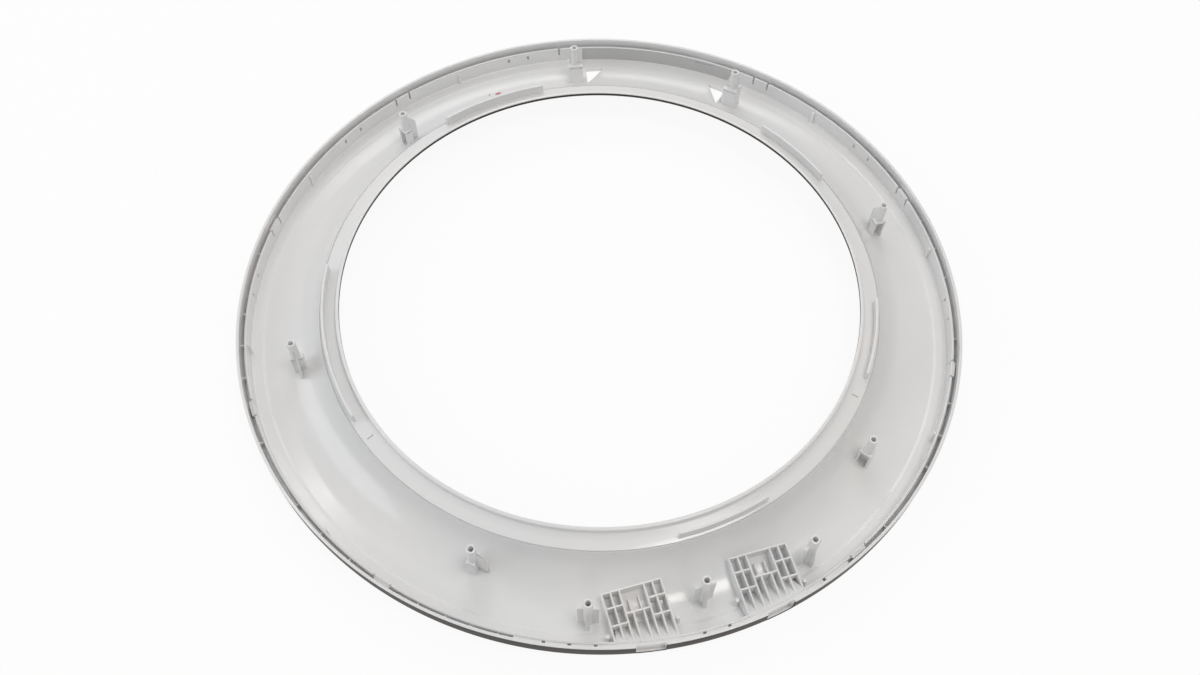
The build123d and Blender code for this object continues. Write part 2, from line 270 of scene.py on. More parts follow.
# %% From arrays to a piece
def make_piece(name, body, finishes, finish_of_face=None, crisp=38):
    """Puts points and quads into a mesh with whole-array calls and hangs the piece on the frame."""
    points, faces = body
    mesh = bpy.data.meshes.new(name)
    mesh.vertices.add(len(points))
    mesh.vertices.foreach_set("co", (points * MM).astype(np.float32).ravel())
    mesh.loops.add(faces.size)
    mesh.loops.foreach_set("vertex_index", faces.astype(np.int32).ravel())
    mesh.polygons.add(len(faces))
    mesh.polygons.foreach_set("loop_start", np.arange(0, faces.size, 4, dtype=np.int32))
    mesh.polygons.foreach_set("use_smooth", np.ones(len(faces), bool))
    for finish in finishes:
        mesh.materials.append(finish)
    if finish_of_face is not None:
        mesh.polygons.foreach_set("material_index", finish_of_face.astype(np.int32))
    mesh.update(calc_edges=True)
    mesh.validate()
    mesh.set_sharp_from_angle(angle=np.radians(crisp))
    obj = bpy.data.objects.new(name, mesh)
    bpy.context.scene.collection.objects.link(obj)
    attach(obj, "root")
    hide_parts("door_frame")
    print(name, len(points), "points,", 2 * len(faces), "triangles")


# %% [markdown]
# ## Shader maths
# A socket wrapped in a small class can be added and multiplied like a number. Each operation adds one Math
# node, and every other node is made by one method, which sets the node's own settings before its sockets.


# %% Sockets that take part in arithmetic
class Wire:
    """A shader socket that can be used in Python arithmetic."""

    def __init__(self, tree, socket=None):
        self.tree, self.socket = tree, socket

    def make(self, kind, settings=None, inputs=None, output=0):
        """A node of any type: its settings first, then values or links for its sockets."""
        node = self.tree.nodes.new(kind)
        for name, value in (settings or {}).items():
            setattr(node, name, value)
        for key, value in (inputs or {}).items():
            if isinstance(value, Wire):
                self.tree.links.new(value.socket, node.inputs[key])
            else:
                node.inputs[key].default_value = value
        return Wire(self.tree, node.outputs[output])

    def math(self, operation, *values):
        """A Math node on values or wires."""
        return self.make("ShaderNodeMath", {"operation": operation}, dict(enumerate(values)))

    def __add__(self, other):
        return self.math("ADD", self, other)

    def __sub__(self, other):
        return self.math("SUBTRACT", self, other)

    def __rsub__(self, other):
        return self.math("SUBTRACT", other, self)

    def __mul__(self, other):
        return self.math("MULTIPLY", self, other)

    __radd__, __rmul__ = __add__, __mul__

    def between(self, start, end):
        """0 below start, 1 above end, and a smooth step in between."""
        return self.make("ShaderNodeMapRange", {"interpolation_type": "SMOOTHSTEP"},
                         {"Value": self, "From Min": start, "From Max": end})


def mixed(factor, first, second):
    """A colour between two colours."""
    return factor.make("ShaderNodeMix", {"data_type": "RGBA"},
                       {"Factor": factor, "A": first, "B": second}, output="Result")


def noise(place, scale, detail=2.0, roughness=0.5):
    """Smooth noise over the object's own coordinates, in metres."""
    return place.make("ShaderNodeTexNoise", {}, {"Vector": place, "Scale": scale, "Detail": detail,
                                                 "Roughness": roughness})


def new_finish(name):
    """A material, its Principled shader, and its Object coordinates as a wire."""
    material = bpy.data.materials.new(name)
    material.use_nodes = True
    tree = material.node_tree
    return material, tree.nodes["Principled BSDF"], Wire(tree).make("ShaderNodeTexCoord", output="Object")


def join(wire, shader, name):
    """Links a wire to one socket of the shader."""
    wire.tree.links.new(wire.socket, shader.inputs[name])


print("shader maths ready")

# %% [markdown]
# ## White ABS
# The rear side is satin white plastic, a little warm. Its colour drifts softly over the ring, as in a real
# moulding, its gloss changes with the faint marks of the mould, and a very fine grain breaks up the
# reflections. A red pen has left a dash and a dot near the handle: two soft ellipses in the ring's own
# coordinates. The wall behind the handle lies deep and is in shade, and that shade is painted: it gets the
# same finish at a share of the brightness, a darker colour that stands for the shade.

# %% The white finish
pen_marks = ((211.8, 112.8, 2.7, 1.5), (213.2, 114.6, 0.9, 0.8))
white_tone, warm_tone, cool_tone = (0.785, 0.785, 0.785), (0.81, 0.80, 0.79), (0.765, 0.768, 0.775)
# The last share darkens the colour of the wall behind the handle: painted shade.
ink_tone, ink_share, cloud_share, painted_shade_share = (0.52, 0.10, 0.11), 0.85, 0.25, 0.68


def ellipse_mask(place, radius, degrees, long_half, short_half):
    """1 inside an ellipse on the ring, 0 outside.

    The place is turned to the mark, then scaled so that the ellipse becomes a unit circle.
    """
    centre = spun(radius, 0.0, degrees) * MM
    local = place.make("ShaderNodeVectorMath", {"operation": "SUBTRACT"}, {0: place, 1: tuple(centre)})
    local = place.make("ShaderNodeVectorRotate", {"rotation_type": "Z_AXIS"},
                       {"Vector": local, "Angle": -np.radians(degrees + 90)})
    shape = (1 / (long_half * MM), 1 / (short_half * MM), 0.0)
    local = place.make("ShaderNodeVectorMath", {"operation": "MULTIPLY"}, {0: local, 1: shape})
    size = place.make("ShaderNodeVectorMath", {"operation": "LENGTH"}, {0: local}, output="Value")
    return 1 - size.between(0.7, 1.1)


def white_abs(name, share=1.0):
    """Satin white plastic with soft drift in colour and gloss, and the pen marks, at a share of its tone."""
    def tone(colour):
        return (*(value * share for value in colour), 1)

    material, shader, place = new_finish(name)
    drift = noise(place, 9.0).between(0.35, 0.65)
    cloud = noise(place, 60.0, 3.0).between(0.3, 0.7)
    plain = mixed(drift, tone(white_tone), tone(warm_tone))
    colour = mixed(cloud * cloud_share, plain, tone(cool_tone))
    for mark in pen_marks:
        colour = mixed(ellipse_mask(place, *mark) * ink_share, colour, tone(ink_tone))
    join(colour, shader, "Base Color")
    join(0.13 + 0.05 * cloud, shader, "Roughness")
    grain = noise(place, 2600.0, 1.0)
    bump = place.make("ShaderNodeBump", {}, {"Strength": 0.06, "Distance": 0.0002, "Height": grain})
    join(bump, shader, "Normal")
    shader.inputs["IOR"].default_value = 1.52
    return material


white = white_abs("white_abs")
# The wall behind the handle gets the white plastic at that lower share: a darker colour that is painted
# shade.
shaded = white_abs("handle_wall_abs", painted_shade_share)
print("finishes:", white.name, shaded.name)

# %% [markdown]
# ## Dark coat
# The outside of the skirt, the front and the wall of the opening are coated dark graphite. Only a sliver of
# it shows from the rear. A coat has tiny flakes, so its gloss and its tone both change at a fine scale.

# %% The graphite finish
coat_tones, flake_tone = ((0.050, 0.043, 0.037, 1), (0.060, 0.052, 0.046, 1)), (0.085, 0.076, 0.070, 1)


def graphite_coat():
    """Dark satin coat: two close tones mixed by soft noise, with paler flakes at a fine scale."""
    material, shader, place = new_finish("graphite_coat")
    flake = noise(place, 1800.0, 2.0, 0.7).between(0.4, 0.7)
    drift = noise(place, 14.0).between(0.3, 0.7)
    join(mixed(flake * 0.3, mixed(drift, *coat_tones), flake_tone), shader, "Base Color")
    join(0.42 + 0.10 * flake, shader, "Roughness")
    shader.inputs["Specular IOR Level"].default_value = 0.05
    return material


graphite = graphite_coat()
print("finish:", graphite.name)

# %% [markdown]
# ## The ring
# One section, turned about the axis, would make a plain ring. The real one changes along the way: slots cut
# the fence, notches cut the skirt for the hinge arms, and the wall behind the handle leans back. So the
# section is written once with its heights as parameters, and each column of the lattice mixes the plain
# section with a changed one.

# %% The section and its changes
dish_steps, corner_steps, edge_share, row_hair = 14, 8, 0.4, 0.02
handle_lean, handle_step, handle_foot = 0.9, 0.05, 0.2


def ring_section(fence_top=fence_height, skirt_top=skirt_height, lean=0.0, step=ledge_step, key=0.0,
                 foot=fence_foot_round, cuts=(window_low, window_sill, window_high)):
    """Half section as (radius, height), once round.

    In order: opening wall, front, outer corner, skirt, groove, fence, ledge, dish, ridge, band and lip. The
    rows that frame a window stay below the fence's rounded edge, a hair apart.
    """
    shares = np.linspace(0, 1, dish_steps + 1)
    corner_low = min(front_corner, skirt_top - corner_clear) - front_corner
    corner_turn = np.linspace(-np.pi / 2, np.arcsin(corner_low / front_corner), corner_steps + 1)
    corner = np.stack([outer_radius - front_corner + front_corner * np.cos(corner_turn),
                       front_corner + front_corner * np.sin(corner_turn)], -1)
    ledge = dish_wall + step
    fence_edge = min(fence_round, edge_share * (fence_top - groove_floor - groove_round))
    limit = fence_top - fence_edge
    low_in, low_out, head = (min(cut, limit - row_hair * (3 - k)) for k, cut in enumerate(cuts))
    middle, key_half = (lip_outer + ridge_radius) / 2, key_length / 2

    def points(curve):
        return [(r, z, 0) for r, z in curve]

    def band(radius, drop):
        return (radius, band_height - (radius - lip_outer) * band_rise / band_width - drop, 0)

    return rounded_path([
        (opening_radius, lip_height, opening_round), (opening_radius, lip_height - coat_drop, 0),
        (opening_radius, edge_height, edge_round), (opening_radius + edge_slope, band_front, opening_round),
        *points(dish_curve(dish_wall, shares[::-1])), (hole_limit, 0, 0), *points(corner),
        (outer_radius, skirt_top, skirt_round), (skirt_inner, skirt_top, skirt_round),
        (skirt_inner, groove_floor, groove_round), (fence_outer, groove_floor, groove_round),
        (fence_outer, low_out, 0), (fence_outer, head, 0),
        (fence_outer, fence_top, fence_edge), (fence_inner, fence_top, fence_edge),
        *((fence_inner + lean * (fence_top - z) / (fence_top - ledge), z, 0) for z in (head, low_in)),
        (fence_inner + lean, ledge, foot), (ledge_inner + ledge_slope, ledge, ledge_round),
        (ledge_inner - draft, dish_wall, ledge_round), (hole_limit, dish_wall, 0),
        *points(dish_curve(0.0, shares)), (ridge_radius - draft, ridge_height - ridge_gap, 0),
        (ridge_radius - ridge_gap, ridge_height - ridge_gap, 0),
        (ridge_radius - ridge_gap - draft / 2, ridge_height + ridge_step, ridge_round),
        band(middle + key_half + draft, 0), band(middle + key_half, key),
        band(middle - key_half, key), band(middle - key_half - draft, 0),
        (lip_outer, band_height, lip_foot_round), (lip_outer, lip_height, lip_round),
    ])


plain = ring_section()
changes = {
    "slot": ring_section(fence_top=slot_floor) - plain,
    "notch": ring_section(skirt_top=notch_floor) - plain,
    "handle": ring_section(lean=handle_lean, step=handle_step, foot=handle_foot,
                           cuts=(slit_low, slit_low, slit_high)) - plain,
    "key": ring_section(key=key_depth) - plain,
}
print("section of", len(plain), "points")

# %% [markdown]
# Columns stand every three quarters of a degree. Where something starts or ends, two columns stand a hair
# apart, so that its side is upright. Round the two triangular holes beside the handle they stand closer.

# %% The columns
turn_step, hair, column_clear = 0.75, 0.015, 0.05
handle_bosses = {"handle_boss_right": -1, "handle_boss_left": 1}
hole_sector, hole_columns, sector_clear = (1.9, 6.9), 17, 0.2


def spans(centres, width, radius):
    """Start and end angles of a width at each centre."""
    return np.add.outer(np.asarray(centres), arc_degrees(width, radius) / 2 * both_sides)


zones = {
    "slot": spans(slot_angles, slot_width, fence_inner),
    "notch": spans(notch_angles, notch_length, outer_radius),
    "handle": np.array([[handle_angle - handle_half_span, handle_angle + handle_half_span]]),
    "key": spans(key_angles, key_width, ridge_radius),
}
window_spans = np.vstack([spans(window_angles, window_width, fence_inner),
                          spans([slit_angle], slit_length, fence_inner)])
boss_places = {name: mount["pos_m"] for name, mount in mounts.items() if "boss" in name}
boss_angles = {name: np.degrees(np.arctan2(y, x)) % 360 for name, (x, y, _) in boss_places.items()}
boss_reach = {name: np.hypot(x, y) / MM for name, (x, y, _) in boss_places.items()}
sectors = [sorted(boss_angles[name] - side * reach for reach in hole_sector)
           for name, side in handle_bosses.items()]
edges = np.vstack(list(zones.values())).ravel()
columns = np.concatenate([edges - hair, edges + hair, window_spans.ravel()])
base = np.arange(0, 360, turn_step)
base = base[degrees_between(base[:, None], columns[None]).min(1) > column_clear]
for start, end in sectors:
    base = base[(base < start - sector_clear) | (base > end + sector_clear)]
    columns = np.concatenate([columns, np.linspace(start, end, hole_columns)])
columns = np.unique(np.round(np.concatenate([base, columns]) % 360, 5))
print(len(columns), "columns")

# %% [markdown]
# Each column's section is the plain one plus the change of every zone that it lies in. The cells of windows
# and of the triangular holes are left out of the lattice, and their walls are added after. A boolean cut
# would do the same, but it leaves long thin faces that shade badly.

# %% The lattice of the ring
inside = {name: ((columns[:, None] > zone[:, 0]) & (columns[:, None] < zone[:, 1])).any(1)
          for name, zone in zones.items()}
section = plain[None] + sum(inside[name][:, None, None] * change for name, change in changes.items())
ring_points = spun(section[..., 0], section[..., 1], columns[:, None]).reshape(-1, 3)
column_count, row_count = section.shape[:2]
ring_faces = lattice(column_count, row_count, close_rows=True)[:, [0, 3, 2, 1]]
grid_number = np.arange(column_count * row_count).reshape(column_count, row_count)
keep = np.ones((column_count, row_count), bool)


def row_at(radius, height):
    """Number of the plain section's row nearest to a place."""
    return int(np.argmin(np.hypot(plain[:, 0] - radius, plain[:, 1] - height)))


def column_at(degrees):
    """Number of the column nearest to an angle."""
    return int(np.argmin(degrees_between(columns, degrees)))


def block_loop(a, b, first, last):
    """Numbers of the lattice points round a block of cells, in order."""
    step = 1 if last > first else -1
    rows = np.arange(first, last, step)
    across = np.arange(a, b)
    return np.concatenate([grid_number[across, first], grid_number[b, rows],
                           grid_number[across[::-1] + 1, last], grid_number[a, rows + step][::-1]])


sill_out, head_out = row_at(fence_outer, window_sill), row_at(fence_outer, window_high)
head_in, sill_in = row_at(fence_inner, window_high), row_at(fence_inner, window_low)
window_faces = []
for start, end in window_spans:
    a, b = column_at(start), column_at(end)
    keep[a:b, sill_out:head_out] = False
    keep[a:b, head_in:sill_in] = False
    outer, inner = block_loop(a, b, sill_out, head_out), block_loop(a, b, sill_in, head_in)
    window_faces.append(np.stack([outer, np.roll(outer, -1), np.roll(inner, -1), inner], -1))
print("windows cut:", len(window_spans))

# %% [markdown]
# A triangular hole is a strip of quads from the dish's rear surface, over a rounded edge, down the hole's
# wall and out again on the front. Its loops run from the cut-out in the lattice to the triangle. Growing a
# triangle about the centre of its inner circle moves every side by the same distance, which gives the
# rounded edge. The middle of a quarter round lies about 0.3 of its radius in from both sides.

# %% Loops of a triangular hole
hole_edge, strip_shares, round_share = 0.25, (0.4, 0.75, 1.0), 0.3


def triangle_loop(corners, outer):
    """The triangle's outline with as many points as the outer loop, and its inner circle.

    Each corner lies beside the loop's nearest point. The circle's radius is twice the area over the sides.
    """
    sides = np.linalg.norm(np.roll(corners, 1, 0) - np.roll(corners, -1, 0), axis=1)
    centre = (corners * sides[:, None]).sum(0) / sides.sum()
    bearing = np.arctan2(*(outer - centre).T[::-1])
    corner_bearing = np.arctan2(*(corners - centre).T[::-1])
    nearest = np.abs(np.angle(np.exp(1j * (bearing[None] - corner_bearing[:, None])))).argmin(1)
    order = np.argsort(nearest)
    at = np.append(nearest[order], nearest[order][0] + len(outer))
    ring = corners[np.append(order, order[0])]
    spread = np.arange(at[0], at[-1])
    loop = np.stack([np.interp(spread, at, ring[:, axis]) for axis in (0, 1)], -1)
    area = abs(np.linalg.det(np.vstack([corners.T, np.ones(3)]))) / 2
    return np.roll(loop, at[0], 0), centre, 2 * area / sides.sum()


def hole_loops(corners, rear, front):
    """Loops from the rear cut-out to the hole's edge, down its wall, and out to the front cut-out."""
    outline, centre, inner_radius = triangle_loop(corners, rear)
    wide, soft = (centre + (outline - centre) * (1 + grow / inner_radius)
                  for grow in (hole_edge, round_share * hole_edge))
    top, under = (dish_height(np.hypot(*outline.T), depth) for depth in (0.0, dish_wall))

    def draped(start, share, depth):
        plan = start + (wide - start) * share
        return plan, dish_height(np.hypot(*plan.T), depth)

    loops = [draped(rear, share, 0.0) for share in strip_shares]
    loops += [(soft, top - round_share * hole_edge), (outline, top - hole_edge),
              (outline, under + hole_edge), (soft, under + round_share * hole_edge)]
    loops += [draped(front, share, dish_wall) for share in strip_shares[::-1]]
    return np.stack([np.column_stack(loop) for loop in loops])


print("rounded edge of a hole:", hole_edge, "mm")

# %% [markdown]
# Two of these holes stand beside the handle's bosses, where the mould's core comes through. The cells under
# them are dropped from the lattice, and the strip is numbered on from the ring's own points, so that both
# share the points of the cut-out and no seam opens.

# %% The triangular holes
hole_offset, hole_leg, hole_base, hole_shift = 9.8, 15.8, 13.6, 2.3
hole_steps, white_bands = 6, 8
hole_points, hole_faces, hole_coats = [], [], []
hole_share = np.array(hole_steps / dish_steps)
rear_first, rear_last = row_at(hole_limit, dish_wall), row_at(*dish_curve(0.0, hole_share))
front_first, front_last = row_at(hole_limit, 0.0), row_at(*dish_curve(dish_wall, hole_share))
total = len(ring_points)
for (name, side), (start, end) in zip(handle_bosses.items(), sectors):
    a, b = column_at(start), column_at(end)
    keep[a:b, rear_first:rear_last] = False
    keep[a:b, front_last:front_first] = False
    rear, front = block_loop(a, b, rear_first, rear_last), block_loop(a, b, front_first, front_last)
    edge, tip = -side * hole_offset, -side * (hole_offset + hole_base)
    middle = boss_reach[name] + hole_shift
    low, high = middle - hole_leg / 2, middle + hole_leg / 2
    corners = placed(np.array([[low, edge], [high, edge], [high, tip]]), boss_angles[name])
    loops = hole_loops(corners, ring_points[rear, :2], ring_points[front, :2])
    number = np.vstack([rear, total + np.arange(loops[..., 0].size).reshape(-1, len(rear)), front])
    strip = number.ravel()[lattice(*number.shape)]
    hole_points.append(loops.reshape(-1, 3))
    hole_faces.append(strip)
    hole_coats.append(np.arange(len(strip)) >= white_bands * len(rear))
    total += loops[..., 0].size
print("triangular holes:", len(hole_faces))

# %% [markdown]
# The ring is one mesh with three finishes, chosen by the lattice's rows and columns: white, the dark coat
# from the opening's wall round the front to the skirt's edge, and white with painted shade on the wall behind
# the handle. Choosing by row keeps the line between two finishes exactly on an edge of the moulding.

# %% Join the ring and choose each face's finish
in_white, in_coat, in_painted_shade = 0, 1, 2
coat_first = row_at(opening_radius, lip_height - coat_drop)
coat_last = row_at(outer_radius, skirt_height - skirt_round)
finish = np.full(keep.shape, in_white)
finish[:, coat_first:coat_last] = in_coat
wall_rows = np.arange(row_at(fence_inner, fence_height - fence_round), row_at(fence_inner, ledge_height) + 1)
# Faces of the wall behind the handle take the darker white, which is painted shade.
finish[np.ix_(inside["handle"], wall_rows)] = in_painted_shade
notch_rows = np.arange(coat_last, row_at(outer_radius - skirt_round, skirt_height) + 1)
finish[np.ix_(inside["notch"], notch_rows)] = in_coat
window_faces = np.vstack(window_faces)
ring_body = (np.vstack([ring_points] + hole_points),
             np.vstack([ring_faces[keep.ravel()], window_faces] + hole_faces))
finish_of_face = np.concatenate([finish[keep], np.full(len(window_faces), in_white)] + hole_coats)
make_piece("ring", ring_body, [white, graphite, shaded], finish_of_face)

# %% [markdown]
# ## Standing forms
# Ribs, gussets, wings, base walls and pins all rise from the dish with a small flare at the foot and a
# rounded top edge. They differ only in the outline of their plan and in the height of their top, so one
# function makes them all. What runs along the ring instead is a section carried along an arc.

# %% Forms that rise from an outline
root_depth, edge_clear, hem = 0.4, 0.05, 0.02


def rounded_loop(corners, radius, spacing=1.2):
    """A closed outline with rounded corners, counter-clockwise, with points along its runs as well."""
    corners = np.asarray(corners, float)
    path = rounded_path(np.column_stack([corners, np.full(len(corners), radius)]))
    run = np.linalg.norm(np.roll(path, -1, 0) - path, axis=1)
    parts = np.maximum(1, np.round(run / spacing)).astype(int)
    first = np.repeat(np.arange(len(path)), parts)
    share = (np.arange(parts.sum()) - np.repeat(np.cumsum(parts) - parts, parts)) / np.repeat(parts, parts)
    loop = path[first] + (np.roll(path, -1, 0)[first] - path[first]) * share[:, None]
    return loop if len(loop) % 2 == 0 else loop[:-1]


def grown(loop, distance):
    """An outline moved outwards along its own normals, which are its tangent turned by a quarter."""
    along = np.roll(loop, -1, 0) - np.roll(loop, 1, 0)
    along = along / np.linalg.norm(along, axis=1)[:, None]
    return loop + np.column_stack([along[:, 1], -along[:, 0]]) * distance


def raised(loop, top, edge=0.3, flare=0.5, foot=None):
    """A form over an outline: flared at its foot on the dish, upright, and rounded at its top edge.

    Loops are the outline moved out or in, each at its own height. A foot given as a height stands there.
    """
    def at(distance, height):
        return np.column_stack([grown(loop, distance), np.broadcast_to(height, len(loop))])

    if foot is None:
        ground = dish_height(np.hypot(*loop.T))
        ceiling = top - edge - edge_clear
        low = np.minimum(dish_height(np.hypot(*grown(loop, flare).T)), ceiling)
        loops = [at(flare, low - root_depth), at(flare, low - hem),
                 at(round_share * flare, np.minimum(ground + round_share * flare, ceiling - hem / 2)),
                 at(0.0, np.minimum(ground + flare, ceiling))]
    else:
        loops = [at(-edge, foot), at(-round_share * edge, foot + round_share * edge), at(0.0, foot + edge)]
    loops += [at(0.0, top - edge), at(-round_share * edge, top - round_share * edge), at(-edge, top)]
    return loft(np.stack(loops))


def plate(x0, x1, y0, y1, radius=0.35):
    """Outline of a flat rectangle with rounded corners."""
    return rounded_loop([(x0, y0), (x1, y0), (x1, y1), (x0, y1)], radius)


def arc_bar(corners, start, end, radius=0.35, edge=0.3):
    """A bar of rounded section (radius, height) carried along an arc, its ends rounded by drawing it in."""
    loop = rounded_loop(corners, radius, spacing=2.0)
    step = arc_degrees(edge, loop[:, 0].mean())
    between = np.linspace(start + step, end - step, max(2, int((end - start) / turn_step)))
    turns = np.concatenate([[start, start + round_share * step], between, [end - round_share * step, end]])
    first = [-edge, -round_share * edge]
    drawn = np.concatenate([first, np.zeros(len(between)), first[::-1]])
    sections = np.stack([grown(loop, distance) for distance in drawn])
    return loft(spun(sections[..., 0], sections[..., 1], turns[:, None])[::-1])


print("standing forms ready")

# %% [markdown]
# ## Snap fence fittings
# Each springy tab has a catch on its outer face, which the rim of the inner frame snaps under. Stops on the
# inner face keep that rim from turning. Thin ribs tie the fence to the skirt across the groove. All of them
# reach a little way into the wall that they grow from, as one moulding has no gap there.

# %% Catches, stops and groove ribs
catch_depth, catch_height, catch_drop, catch_lead, catch_slope, overlap = 1.4, 2.0, 0.5, 0.6, 0.7, 0.3
stop_width, stop_depth, stop_top = 2.2, 1.5, 13.6
rib_wall, rib_drop, rib_overlap, sink = 1.0, 2.5, 0.4, 0.5
half_slot = arc_degrees(slot_width, fence_inner) / 2
catch_low, catch_top = fence_height - catch_drop - catch_height, fence_height - catch_drop
catch_section = [(fence_outer - overlap, catch_low - catch_lead), (fence_outer + catch_depth, catch_low),
                 (fence_outer + catch_depth, catch_top - catch_slope), (fence_outer - overlap, catch_top)]
fittings = [arc_bar(catch_section, angle - half_tab + half_slot, angle + half_tab - half_slot)
            for angle in tab_angles]
stop_plan = plate(fence_inner - stop_depth, fence_inner + rib_overlap, -stop_width / 2, stop_width / 2)
fittings += [raised(placed(stop_plan, angle), stop_top) for angle in pattern_angles(0)]
rib_plan = plate(fence_outer - rib_overlap, skirt_inner + rib_overlap, -rib_wall / 2, rib_wall / 2)
rib_offsets = (0, pattern_offset / 2, -pattern_offset / 2, pattern_pitch / 2)
rib_angles = np.add.outer(pattern_angle + pattern_pitch * np.arange(pattern_count), rib_offsets).ravel()
fittings += [raised(placed(rib_plan, angle), fence_height - rib_drop, foot=groove_floor - sink)
             for angle in rib_angles]
make_piece("snap_fittings", gather(fittings), [white])

# %% [markdown]
# ## Retaining walls
# Five curved walls stand near the outer edge of the band and centre the inner ring. Each is one rounded
# section carried along its arc.

# %% Retaining walls
retainer_wall, retainer_rise, retainer_setback, retainer_round = 1.8, 7.7, 2.3, 0.45
retainers = ((104.4, 129.0), (31.0, 50.0), (338.0, 356.6), (285.3, 303.7), (177.0, 214.8))
retainer_outer = ridge_radius - retainer_setback
retainer_top = ridge_height + ridge_step + retainer_rise
retainer_section = [(retainer_outer - retainer_wall, ridge_height), (retainer_outer, ridge_height),
                    (retainer_outer, retainer_top), (retainer_outer - retainer_wall, retainer_top)]
walls = [arc_bar(retainer_section, start, end, retainer_round) for start, end in retainers]
make_piece("retaining_walls", gather(walls), [white])

# %% [markdown]
# ## Screw bosses
# Seven tubes stand on hollow bases that are open on one side, with gussets beside the tube. Three more,
# between the hinge arms, stand straight on the dish with two wings and a brace. A tube is a circle carried
# up its outside, over a rounded rim and down the screw hole.

# %% The tube
tube_radius, tube_draft, pilot_radius, pilot_depth, rim_round, tube_sides = 2.8, 0.05, 1.6, 16.0, 0.35, 48


def tube(name, foot):
    """Circles whose radius and height follow the tube's outline: up the wall, over the rim, down the hole."""
    soft = round_share * rim_round
    outline = [(tube_radius + tube_draft, foot), (tube_radius, boss_top - rim_round),
               (tube_radius - soft, boss_top - soft), (tube_radius - rim_round, boss_top),
               (pilot_radius + rim_round, boss_top), (pilot_radius + soft, boss_top - soft),
               (pilot_radius, boss_top - rim_round), (pilot_radius, boss_top - pilot_depth)]
    radius, height = np.array(outline).T[:, :, None]
    circle = np.linspace(0, 360, tube_sides, endpoint=False)
    loops = spun(radius, np.broadcast_to(height, (len(outline), tube_sides)), circle[None])
    return loft(loops + spun(boss_reach[name], 0.0, boss_angles[name]))


print("tube of", boss_top, "mm ready")

# %% [markdown]
# A hollow base keeps the plastic thin, so that no sink mark shows on the front: three walls and a shelf,
# open on one side. The five bosses round the dish have one gusset on the closed side, and the two beside the
# handle have a larger base with a gusset on both sides. Where two walls meet, one is tucked in by a tenth of
# a millimetre, so that no two faces lie in one plane.

# %% Bosses on hollow bases
shelf_height, shelf_wall, shelf_edge, shelf_round = 20.5, 2.0, 0.4, 0.5
base_wall, tuck, tube_sink = 1.4, 0.1, 0.5
gusset_wall, gusset_round, gusset_back, gusset_sink = 1.6, 0.4, 0.3, 1.0
open_sides = {"main_boss_1": 1, "main_boss_2": -1, "main_boss_3": -1, "main_boss_4": -1, "main_boss_5": -1,
              "handle_boss_right": 1, "handle_boss_left": -1}
main_base, handle_base = (8.4, 3.4, 2.6), (9.6, 6.2, 5.0)
main_gusset = (9.1, 30.0, 22.3)
handle_gusset_top, handle_gusset_rise, handle_gusset_inset, handle_gusset_edge = 33.0, 0.4, 0.3, 0.2


def gusset(way, reach, top, shoulder):
    """Outline of an upright plate from the tube's axis along Y, and its height, down to its shoulder."""
    loop = plate(-gusset_wall / 2, gusset_wall / 2, *sorted((-gusset_back * way, way * reach)), gusset_round)
    return loop, np.interp(np.abs(loop[:, 1]), (tube_radius, reach), (top, shoulder))


def based_boss(name, way):
    """Three walls, a shelf, the gussets and the tube of one boss, open on the side that the way points to."""
    def stood(loop):
        return placed(loop, boss_angles[name], boss_reach[name])

    main = name.startswith("main")
    length, to_open, to_closed = main_base if main else handle_base
    end, open_edge, closed_edge = length / 2, way * to_open, -way * to_closed
    back = sorted((closed_edge, -way * (to_closed - base_wall)))
    legs = sorted((open_edge, -way * (to_closed - tuck)))
    walls = (plate(-end, base_wall - end, *legs), plate(end - base_wall, end, *legs),
             plate(tuck - end, end - tuck, *back))
    bodies = [raised(stood(wall), shelf_height - shelf_edge) for wall in walls]
    shelf = plate(-end, end, *sorted((open_edge, closed_edge)), shelf_round)
    bodies.append(raised(stood(shelf), shelf_height, shelf_edge, foot=shelf_height - shelf_wall))
    on_shelf = shelf_height - gusset_sink
    if main:
        loop, top = gusset(-way, *main_gusset)
        ground = dish_height(np.hypot(*stood(loop).T)) - root_depth
        foot = np.where(np.abs(loop[:, 1]) > to_closed, ground, on_shelf)
        bodies.append(raised(stood(loop), top, foot=foot))
    else:
        for turn, edge in ((way, to_open), (-way, to_closed)):
            loop, top = gusset(turn, edge - handle_gusset_inset, handle_gusset_top,
                               shelf_height + handle_gusset_rise)
            bodies.append(raised(stood(loop), top, handle_gusset_edge, foot=on_shelf))
    bodies.append(tube(name, shelf_height - tube_sink))
    return gather(bodies)


make_piece("based_bosses", gather([based_boss(*item) for item in open_sides.items()]), [white])

# %% [markdown]
# Between the hinge arms there is no room for a base. These three tubes stand on the dish itself, with a wing
# on each side across their own radius and a brace that slopes down towards the fence.

# %% Bosses with wings
wing_span, wing_height, wing_wall, brace_length, brace_foot = 6.3, 27.5, 1.6, 5.8, 3.0
wings = plate(-wing_wall / 2, wing_wall / 2, -wing_span, wing_span)
brace = plate(0, brace_length, -wing_wall / 2, wing_wall / 2)
slope = np.interp(brace[:, 0], (tube_radius, brace_length), (wing_height, dish_wall + brace_foot))
winged = []
for name in ("hinge_boss_middle", "hinge_boss_left", "hinge_boss_right"):
    place = boss_angles[name], boss_reach[name]
    winged += [raised(placed(wings, *place), wing_height), raised(placed(brace, *place), slope),
               tube(name, dish_wall)]
make_piece("winged_bosses", gather(winged), [white])

# %% [markdown]
# ## Hinge rib grids
# The hinge arms press on two grids of thin ribs. Each has two columns of pockets on both sides of a middle
# panel, and a pin on either side. All ribs are the same standing form, so the grid is a list of rectangles.
# Ribs that cross differ in height by a hair, so that their tops don't lie in one plane.

